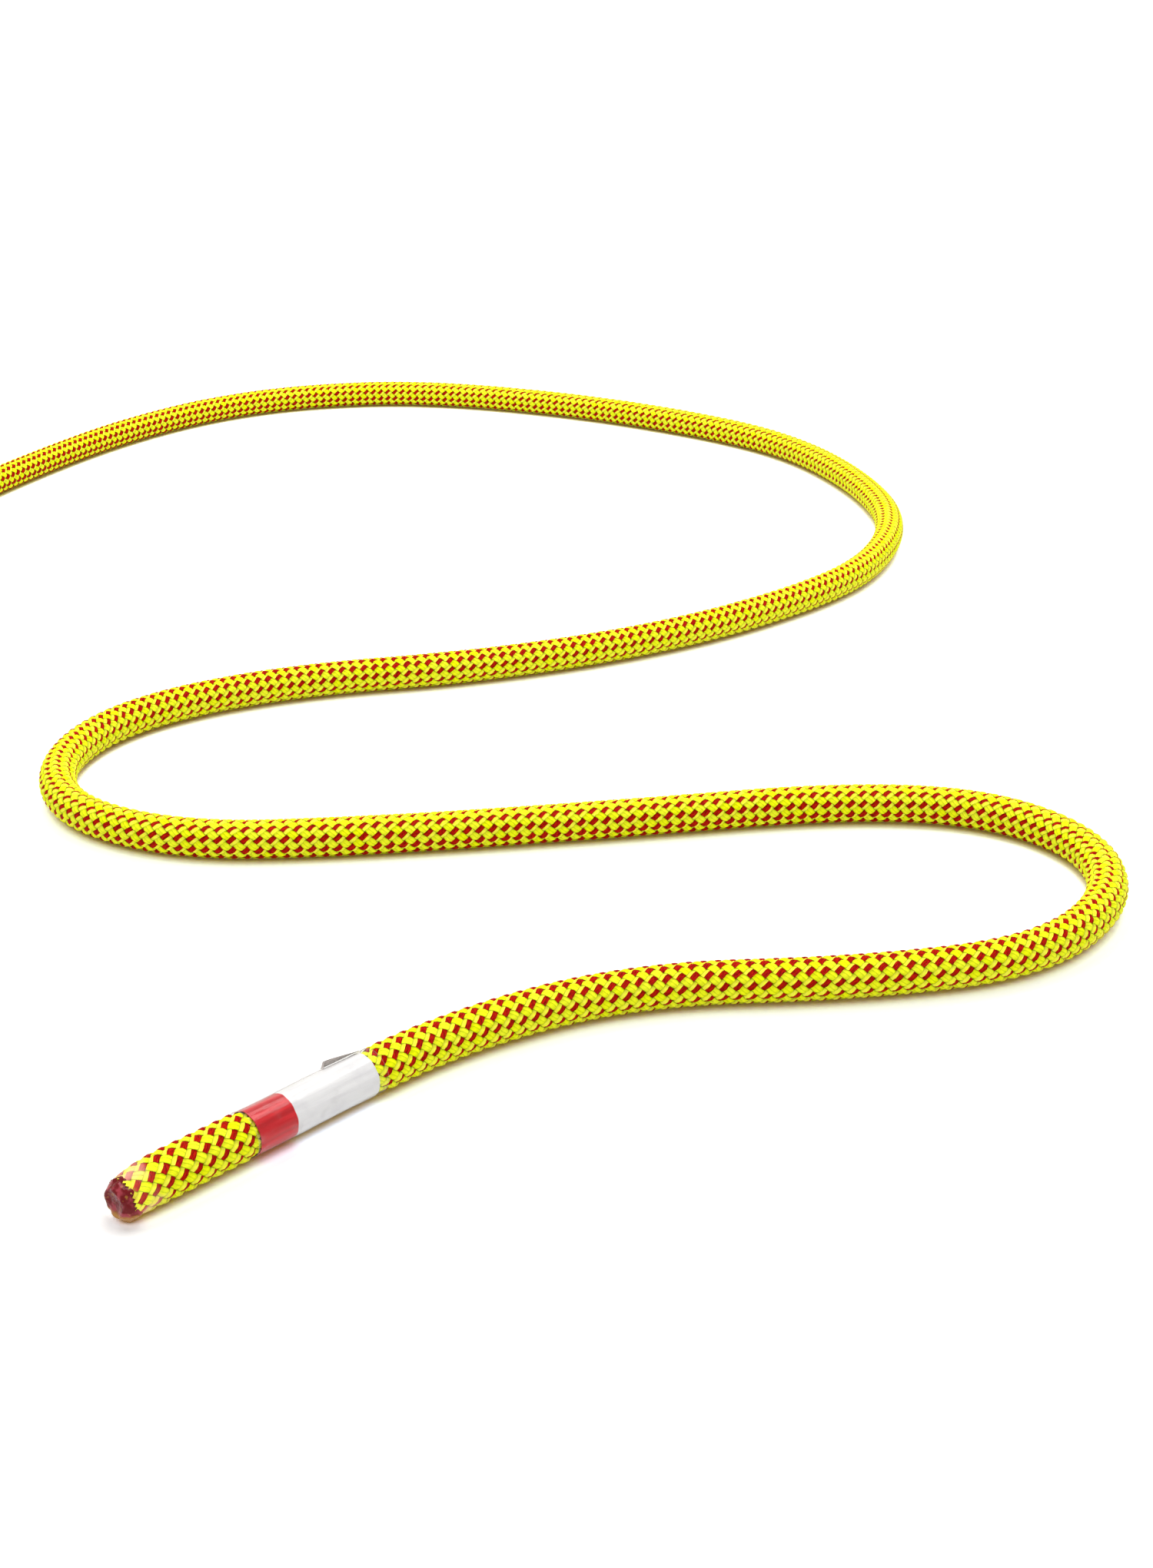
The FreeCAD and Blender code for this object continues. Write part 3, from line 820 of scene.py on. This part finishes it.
def filaments(n, across, along, chance):
    """Fine filaments that run with each strand, slightly twisted."""
    twisted = n.math("MULTIPLY_ADD", along, FILAMENT_STRETCH, n.math("MULTIPLY", across, FILAMENT_TWIST))
    thread = n.vector(n.math("MULTIPLY", across, FILAMENTS), twisted, n.math("MULTIPLY", chance, 50.0))
    return n.noise(thread, 1.0, 3.0)


def braid_material(name, melted_end):
    """Braid of two-yarn strands, one way all yellow, the other pale yellow and red."""
    n = Nodes(name)
    u, v, _ = n.parts(n.map("Braid"))
    uv = n.vector(u, v, 0.0)
    u = n.math("ADD", u, n.centred(n.noise(uv, 0.9), STRAND_WANDER))
    v = n.math("ADD", v, n.centred(n.noise(n.vector(v, u, 3.0), 1.1), STRAND_WANDER))
    lead, two_tone_share, surface, across, along, chance = weave_pattern(n, u, v)
    from_split = n.math("SUBTRACT", across, n.math("MULTIPLY", two_tone_share, SPLIT_SHIFT))
    groove = n.ramp(n.math("ABSOLUTE", from_split), GROOVE_HALF_WIDTH, 0.0)
    filament = filaments(n, across, along, chance)
    # Painted shade: low parts of the surface and the creases between strands are darkened in colour
    painted_hollow_shade = n.ramp(surface, 1.05, 0.50)
    painted_border_shade = n.ramp(n.math("ABSOLUTE", lead), 0.60, 0.05)
    crease = n.ramp(n.math("ABSOLUTE", lead), 0.22, 0.0)
    dark = n.math("MAXIMUM", painted_hollow_shade, crease)

    yellow = n.mix(n.ramp(filament, 0.30, 0.62), DEEP_YELLOW, YELLOW)
    yellow = n.tinted(yellow, chance, 0.25, PALE_YELLOW)
    # Painted shade: lime in the groove between yarns and along the strands' borders, and a deeper tone
    # in the hollows and creases
    yellow = n.tinted(yellow, groove, 0.35, LIME_PAINTED_SHADE)
    yellow = n.tinted(yellow, painted_border_shade, 0.80, LIME_PAINTED_SHADE)
    yellow = n.tinted(yellow, dark, 0.80, PAINTED_CREASE_SHADE)
    pale = n.mix(n.ramp(filament, 0.3, 0.7), YELLOW, PALE_YELLOW)
    pale = n.tinted(pale, painted_border_shade, 0.40, LIME_PAINTED_SHADE)
    pale = n.tinted(pale, dark, 0.75, PAINTED_CREASE_SHADE)
    # Dark streaks between the red filaments, partly painted shade, and painted shade in the hollows and
    # creases
    red = n.mix(n.ramp(filament, 0.28, 0.62), DARK_RED_STREAK_AND_SHADE, RED)
    red = n.tinted(red, dark, 0.80, DARK_RED_STREAK_AND_SHADE)
    two_tone = n.mix(n.ramp(from_split, -0.012, 0.012), pale, red)
    colour = n.mix(two_tone_share, yellow, two_tone)
    height = n.math("MULTIPLY_ADD", groove, -GROOVE_DEPTH, surface)
    height = n.math("MULTIPLY_ADD", filament, FILAMENT_DEPTH, height)
    roughness = BRAID_ROUGHNESS
    if melted_end:
        # Painted glints: pink patches on the glazed melt stand in for its gloss, over a faint pink haze
        painted_glint_patches = n.noise(n.vector(u, v, 7.0), 0.55, 2.0)
        distance = n.math("MULTIPLY_ADD", u, BRAID_PITCH, BRAID_START)
        distance = n.math("ADD", distance, n.centred(n.noise(uv, 0.8, 4.0), GLAZE_PATCHES))
        glaze = n.ramp(distance, GLAZE_END, CROWN_LENGTH)
        scorch = n.ramp(distance, SCORCH_END, CROWN_LENGTH)
        colour = n.mix(n.math("MULTIPLY", glaze, n.ramp(painted_glint_patches, 0.46, 0.60, 0.08, 0.75)), colour,
                       GLAZE_PINK_AND_PAINTED_GLINT)
        colour = n.tinted(colour, scorch, 0.75, SCORCHED)
        height = n.math("MULTIPLY", height, n.math("MULTIPLY_ADD", glaze, -GLAZE_FLATTENING, 1.0))
        roughness = n.math("MULTIPLY_ADD", glaze, -GLAZE_SMOOTHING, BRAID_ROUGHNESS)
    n.bump(height, BRAID_BUMP)
    return n.finish(Base_Color=colour, Roughness=roughness, Specular_IOR_Level=0.04)


CROWN_RED = (0.15, 0.003, 0.005)
CROWN_MAUVE = (0.34, 0.04, 0.055)
CROWN_AMBER = (0.50, 0.24, 0.04)
AMBER_HEIGHT = 0.0044
AMBER_FULL_HEIGHT = 0.0030


def crown_material():
    """Melted nylon, dark red with mauve glaze, amber flecks, and amber towards the bottom."""
    n = Nodes("melted_crown")
    place = n.place()
    cloud = n.noise(place, 480.0, 2.0)
    fleck = n.noise(place, 760.0, 2.0)
    tone = n.mix(n.ramp(cloud, 0.50, 0.66), CROWN_RED, CROWN_MAUVE)
    tone = n.tinted(tone, n.ramp(fleck, 0.60, 0.70), 0.5, CROWN_AMBER)
    _, _, up = n.parts(place)
    low = n.ramp(n.math("MULTIPLY_ADD", cloud, 0.002, up), AMBER_HEIGHT, AMBER_FULL_HEIGHT)
    tone = n.tinted(tone, low, 0.8, CROWN_AMBER)
    n.bump(n.noise(place, 700.0, 1.0), 0.00025)
    return n.finish(Base_Color=tone, Roughness=n.ramp(fleck, 0.3, 0.7, 0.14, 0.30),
                    Specular_IOR_Level=0.2)


LABEL_WHITE = (0.73, 0.72, 0.71)
# Grey for soft smudges, and painted shade in streaks along the wrinkles
LABEL_SMUDGE_AND_SHADE_GREY = (0.50, 0.48, 0.51)
LABEL_RED = (0.60, 0.014, 0.020)
# Deeper red for painted shade in streaks along the wrinkles
LABEL_RED_STREAK_SHADE = (0.44, 0.007, 0.011)
BAND_EDGE_MM = 0.06


def label_material():
    """Bare printed film, a red band and then white, with soft smudges, fibres, and painted shade in
    lengthwise streaks along its wrinkles.
    """
    n = Nodes("label_print")
    along, share, _ = n.parts(n.map("Wrap"))
    place = n.place()
    smudge = n.noise(place, 160.0, 3.0)
    # Painted shade: lengthwise streaks darken the white and the red along the film's wrinkles, and also
    # give the wrinkles' bump
    streak_relief_and_shade = n.noise(n.vector(n.math("MULTIPLY", along, 0.05), n.math("MULTIPLY", share, 26.0), 1.0),
                     1.0, 3.0)
    fibre = n.noise(place, 4000.0, 2.0)
    white = n.tinted(LABEL_WHITE, n.ramp(smudge, 0.52, 0.70), 0.22, LABEL_SMUDGE_AND_SHADE_GREY)
    white = n.tinted(white, n.ramp(streak_relief_and_shade, 0.50, 0.68), 0.20, LABEL_SMUDGE_AND_SHADE_GREY)
    red = n.mix(n.ramp(streak_relief_and_shade, 0.35, 0.65), LABEL_RED_STREAK_SHADE, LABEL_RED)
    edge = n.math("MULTIPLY_ADD", fibre, 0.08, along)
    band_end = RED_BAND_END * TO_MM
    colour = n.mix(n.ramp(edge, band_end, band_end + BAND_EDGE_MM), red, white)
    n.bump(n.math("MULTIPLY_ADD", fibre, 0.10, streak_relief_and_shade), 0.00010)
    return n.finish(Base_Color=colour, Roughness=0.34, Specular_IOR_Level=0.1,
                    Coat_Weight=0.45, Coat_Roughness=0.06)


FILM_COLOUR = (0.60, 0.56, 0.54, 1)
FLAP_BROWN = (0.55, 0.49, 0.46)
FLAP_EDGE_BROWN = (0.16, 0.11, 0.09)


def film_material():
    """Thin clear film, seen by its gloss and at grazing angles."""
    n = Nodes("clear_film")
    facing = n.tree.nodes.new("ShaderNodeLayerWeight")
    facing.inputs["Blend"].default_value = 0.35
    crease = n.noise(n.place(), 260.0, 3.0)
    alpha = n.math("MULTIPLY", n.math("POWER", facing.outputs["Facing"], 2.0), 0.25)
    alpha = n.math("MULTIPLY_ADD", n.ramp(crease, 0.58, 0.75), 0.05, alpha)
    n.bump(crease, 0.00012)
    return n.finish(Base_Color=FILM_COLOUR, Roughness=0.12, Alpha=alpha, Specular_IOR_Level=0.5)


def film_edge_material():
    """Cut edge and lifted flap of the film, where it looks milky brown."""
    n = Nodes("film_edge")
    _, lifted, _ = n.parts(n.map("Film"))
    tone = n.mix(n.ramp(lifted, 0.88, 0.99), FLAP_BROWN, FLAP_EDGE_BROWN)
    return n.finish(Base_Color=tone, Roughness=0.5, Alpha=0.75, Specular_IOR_Level=0.05)


STRAP_DARK = (0.010, 0.010, 0.012)
STRAP_LIGHT = (0.045, 0.045, 0.050)
STRAP_THREAD = (0.30, 0.30, 0.31)

# Webbing and stitches, in millimetres
RIB_LENGTH = 1.3
WARP_WIDTH = 0.9
STITCH_LENGTH = 2.4
STITCH_SHARE = 0.68
STITCH_ROWS = (3.0, 30.0)
ROW_HALF_WIDTH = 0.35
STITCHED_HALF_WIDTH = 6.6


def strap_material(length):
    """Black ribbed webbing with rows of grey stitches across the lapped end."""
    n = Nodes("strap_webbing")
    along, across, _ = n.parts(n.map("Weave"))
    rib = n.math("SINE", n.math("MULTIPLY", along, FULL_TURN / RIB_LENGTH))
    half_turns = n.math("FLOOR", n.math("DIVIDE", along, RIB_LENGTH / 2))
    warp_turns = n.math("MULTIPLY", across, FULL_TURN / WARP_WIDTH)
    warp = n.math("SINE", n.math("ADD", warp_turns, n.math("MULTIPLY", half_turns, math.pi)))
    weave = n.math("MULTIPLY_ADD", n.math("MULTIPLY", rib, rib), 0.6, n.math("MULTIPLY", warp, 0.4))
    fuzz = n.noise(n.vector(n.math("MULTIPLY", along, 1.6), n.math("MULTIPLY", across, 7.0), 0.0),
                   1.0, 3.0)
    colour = n.mix(n.ramp(n.math("MULTIPLY_ADD", fuzz, 0.5, weave), 0.1, 1.0), STRAP_DARK, STRAP_LIGHT)
    from_end = n.math("SUBTRACT", length * TO_MM, along)
    near_row, far_row = [n.math("COMPARE", from_end, row, ROW_HALF_WIDTH) for row in STITCH_ROWS]
    dash = n.math("LESS_THAN", n.math("FRACT", n.math("DIVIDE", across, STITCH_LENGTH)), STITCH_SHARE)
    inside = n.math("LESS_THAN", n.math("ABSOLUTE", across), STITCHED_HALF_WIDTH)
    stitch = n.math("MULTIPLY", n.math("MAXIMUM", near_row, far_row), n.math("MULTIPLY", dash, inside))
    colour = n.mix(stitch, colour, STRAP_THREAD)
    height = n.math("MULTIPLY_ADD", stitch, 1.2, weave)
    n.bump(n.math("MULTIPLY_ADD", fuzz, 0.4, height), 0.00016)
    return n.finish(Base_Color=colour, Roughness=0.72, Sheen_Weight=0.25, Specular_IOR_Level=0.3)


# Rope pieces
free_mesh, free_path = braided_tube("rope_free_stretch", free_line, BRAID_START, free_line.length)
free_rope = make_object(free_mesh, braid_material("braid_of_free_stretch", True))
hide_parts("braided_sheath", *["core_strand_%d" % (k + 1) for k in range(6)])

coil_mesh, coil_path = plain_tube("rope_coil", coil_line, coil_line.length - BRAID_START)
coil_rope = make_object(coil_mesh, braid_material("braid_of_coil", False))
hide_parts("coiled_length")

melted = crown_material()
near_mesh = melted_crown("near_melted_crown", free_line, NEAR_CROWN_SEED, settled(CROWN_LENGTH))
near_crown = make_object(near_mesh, melted)
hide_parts("near_end_seal")
far_mesh = melted_crown("far_melted_crown", far_end, FAR_CROWN_SEED, 0.0)
far_crown = make_object(far_mesh, melted)
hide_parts("far_end_seal")

label = make_object(printed_label("printed_label", free_line), label_material())
thicken(label, LABEL_THICKNESS)
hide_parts("end_label")
film = make_object(clear_film("clear_film", free_line), film_material())
film.data.materials.append(film_edge_material())
thicken(film, FILM_THICKNESS, edge_material=1)
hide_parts("clear_label_sleeve")

for number, share in enumerate(STRAP_PLACES, start=1):
    strap_mesh, strap_length = strap("coil_strap_%d" % number, share)
    if number == 1:
        webbing = strap_material(strap_length)
    tie = make_object(strap_mesh, webbing)
    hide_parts("coil_tie_%d" % number)


# Floor, camera and light
FLOOR_WHITE = (0.87, 0.88, 0.90)
FLOOR_SEEN = (0.86, 0.86, 0.85)
# Painted light and painted shadow that tint the floor round the rope, seen only by the camera
FLOOR_NEAR_PAINTED_LIGHT = (1.80, 1.90, 2.10)
FLOOR_CONTACT_PAINTED_SHADOW = (0.95, 0.62, 0.18)
FLOOR_CORNERS = [(-6, -4, 0), (6, -4, 0), (6, 9, 0), (-6, 9, 0)]
FLOOR_MIDDLE_X = 0.1
GLOW_START = 0.38
GLOW_END = 0.95
OPENNESS_REACH = 0.010
OPENNESS_SAMPLES = 8
IMAGE_HEIGHT = 2040
FOCAL_LENGTH_PIXELS = 2930
SENSOR_WIDTH = 36
CAMERA_PLACE = (0.214, -0.650, 0.245)
CAMERA_DIP = 24
WORLD_STRENGTH = 0.74
LAMP_WIDTH = 1.3
LAMP_DEPTH = 1.1
LAMP_POWER = 20.5
LAMP_PLACE = (0.18, 0.20, 1.42)
LAMP_TARGET = (0.1, 0.0, 0.0)


def seen_by_camera(n):
    """1 for rays that show the floor itself, straight, mirrored or through film."""
    light_path = n.tree.nodes.new("ShaderNodeLightPath")
    seen = n.math("MAXIMUM", light_path.outputs["Is Camera Ray"], light_path.outputs["Is Glossy Ray"])
    return n.math("MAXIMUM", seen, light_path.outputs["Is Transmission Ray"])


def make_floor():
    """Floor seen as white, with the rope's shadow tinted by painted shadow, warm brown at the contact,
    and painted light a little further out.
    """
    n = Nodes("pale_floor")
    seen = seen_by_camera(n)
    x, y, _ = n.parts(n.place())
    x_squared = n.math("POWER", n.math("SUBTRACT", x, FLOOR_MIDDLE_X), 2.0)
    from_middle = n.math("SQRT", n.math("ADD", x_squared, n.math("POWER", y, 2.0)))
    glow = n.math("MULTIPLY", seen, n.ramp(from_middle, GLOW_START, GLOW_END))
    occlusion = n.tree.nodes.new("ShaderNodeAmbientOcclusion")
    occlusion.samples = OPENNESS_SAMPLES
    occlusion.inputs["Distance"].default_value = OPENNESS_REACH
    openness = occlusion.outputs["AO"]
    # Painted shadow and light by how open the floor is: warm brown at the rope's contact, paler a little
    # further out, then the plain seen colour
    tint = n.mix(n.ramp(openness, 0.14, 0.40), FLOOR_CONTACT_PAINTED_SHADOW, FLOOR_NEAR_PAINTED_LIGHT)
    tint = n.mix(n.ramp(openness, 0.36, 0.72), tint, FLOOR_SEEN)
    mesh = bpy.data.meshes.new("floor")
    mesh.from_pydata(FLOOR_CORNERS, [], [(0, 1, 2, 3)])
    mesh.materials.append(n.finish(Base_Color=n.mix(seen, FLOOR_WHITE, tint), Roughness=0.9,
                                   Specular_IOR_Level=0.1, Emission_Color=(1, 1, 1, 1),
                                   Emission_Strength=glow))
    floor = bpy.data.objects.new("floor", mesh)
    bpy.context.collection.objects.link(floor)


def make_camera():
    """Camera that looks along +Y and down at the photograph's viewing angle."""
    data = bpy.data.cameras.new("camera")
    data.sensor_width = SENSOR_WIDTH
    data.lens = SENSOR_WIDTH * FOCAL_LENGTH_PIXELS / IMAGE_HEIGHT
    camera = bpy.data.objects.new("camera", data)
    camera.location = CAMERA_PLACE
    camera.rotation_euler = (math.radians(90 - CAMERA_DIP), 0, 0)
    bpy.context.collection.objects.link(camera)
    bpy.context.scene.camera = camera


def make_light():
    """Even white surroundings and one large soft box overhead."""
    world = bpy.data.worlds.new("studio")
    world.use_nodes = True
    background = world.node_tree.nodes["Background"]
    background.inputs[0].default_value = (1, 1, 1, 1)
    background.inputs[1].default_value = WORLD_STRENGTH
    bpy.context.scene.world = world
    lamp = bpy.data.lights.new("soft_box", "AREA")
    lamp.shape = "RECTANGLE"
    lamp.size = LAMP_WIDTH
    lamp.size_y = LAMP_DEPTH
    lamp.energy = LAMP_POWER
    box = bpy.data.objects.new("soft_box", lamp)
    box.location = LAMP_PLACE
    box.rotation_euler = (Vector(LAMP_TARGET) - box.location).to_track_quat("-Z", "Y").to_euler()
    bpy.context.collection.objects.link(box)


make_floor()
make_camera()
make_light()
bpy.context.scene.view_settings.view_transform = "Standard"
